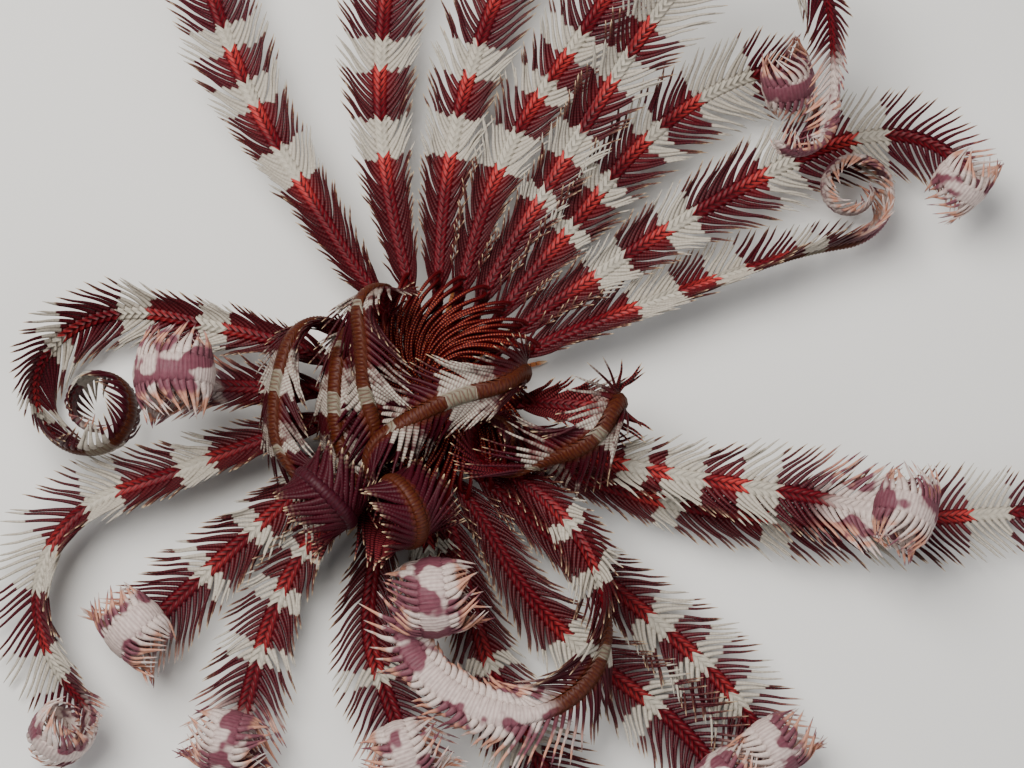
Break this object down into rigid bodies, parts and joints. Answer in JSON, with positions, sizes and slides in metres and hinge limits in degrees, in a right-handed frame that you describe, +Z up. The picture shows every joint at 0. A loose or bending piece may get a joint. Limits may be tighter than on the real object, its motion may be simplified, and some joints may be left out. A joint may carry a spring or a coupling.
{
  "type": "indian feather star model",
  "caption": "Life-size still model of a feather star at rest: long arms with rows of pinnules, banded maroon and white, some fanned out and some rolled up, on a ring of cirri.",
  "frame": {"origin": "centre of the flat pole of the centrodorsal, on the surface that the animal rests on", "axes": "+Z up, the way the mouth faces; +Y towards the fan of spread arms; +X towards the single arms on the right"},
  "size_m": [0.1665, 0.1583, 0.03],
  "materials": {
    "cirri_tan": "orange-tan horny segments with pale joints and curved claws",
    "tegmen_maroon": "soft dark maroon skin of the disc with fine pale granules",
    "ray_maroon": "orange-brown to maroon plates with fine dark joints",
    "arm_maroon": "maroon arm plates and pinnules with white bands across both",
    "arm_tip_mauve": "maroon and white bands fading to pinkish white with mauve patches at rolled tips"
  },
  "bodies": {
    "root": {"centrodorsal": "cirri_tan", "disc": "tegmen_maroon", "ray_1": "ray_maroon", "ray_2": "ray_maroon", "ray_3": "ray_maroon", "ray_4": "ray_maroon", "ray_5": "ray_maroon", "arm_right_low_near": "arm_maroon", "arm_right_low_far": "arm_tip_mauve", "arm_right_near": "arm_maroon", "arm_right_far": "arm_tip_mauve", "arm_right_fold_near": "arm_maroon", "arm_right_fold_far": "arm_tip_mauve", "arm_over_disc_near": "arm_maroon", "arm_over_disc_far": "arm_tip_mauve", "arm_fan_8_near": "arm_maroon", "arm_fan_8_far": "arm_tip_mauve", "arm_fan_7_near": "arm_maroon", "arm_fan_7_far": "arm_tip_mauve", "arm_fan_6_near": "arm_maroon", "arm_fan_6_far": "arm_tip_mauve", "arm_fan_5_near": "arm_maroon", "arm_fan_5_far": "arm_tip_mauve", "arm_fan_4_near": "arm_maroon", "arm_fan_4_far": "arm_tip_mauve", "arm_fan_3_near": "arm_maroon", "arm_fan_3_far": "arm_tip_mauve", "arm_fan_2_near": "arm_maroon", "arm_fan_2_far": "arm_tip_mauve", "arm_fan_1_near": "arm_maroon", "arm_fan_1_far": "arm_tip_mauve", "arm_left_curl_3_near": "arm_maroon", "arm_left_curl_3_far": "arm_tip_mauve", "arm_left_curl_2_near": "arm_maroon", "arm_left_curl_2_far": "arm_tip_mauve", "arm_left_curl_1_near": "arm_maroon", "arm_left_curl_1_far": "arm_tip_mauve", "arm_left_1_near": "arm_maroon", "arm_left_1_far": "arm_tip_mauve", "arm_left_2_near": "arm_maroon", "arm_left_2_far": "arm_tip_mauve", "arm_left_3_near": "arm_maroon", "arm_left_3_far": "arm_tip_mauve", "arm_left_4_near": "arm_maroon", "arm_left_4_far": "arm_tip_mauve", "arm_left_5_near": "arm_maroon", "arm_left_5_far": "arm_tip_mauve", "arm_front_1_near": "arm_maroon", "arm_front_1_far": "arm_tip_mauve", "arm_front_2_near": "arm_maroon", "arm_front_2_far": "arm_tip_mauve", "arm_front_3_near": "arm_maroon", "arm_front_3_far": "arm_tip_mauve", "arm_front_4_near": "arm_maroon", "arm_front_4_far": "arm_tip_mauve", "arm_front_5_near": "arm_maroon", "arm_front_5_far": "arm_tip_mauve", "arm_front_hook_near": "arm_maroon", "arm_front_hook_far": "arm_tip_mauve", "arm_front_hook_middle": "arm_tip_mauve"}
  },
  "joints": []
}
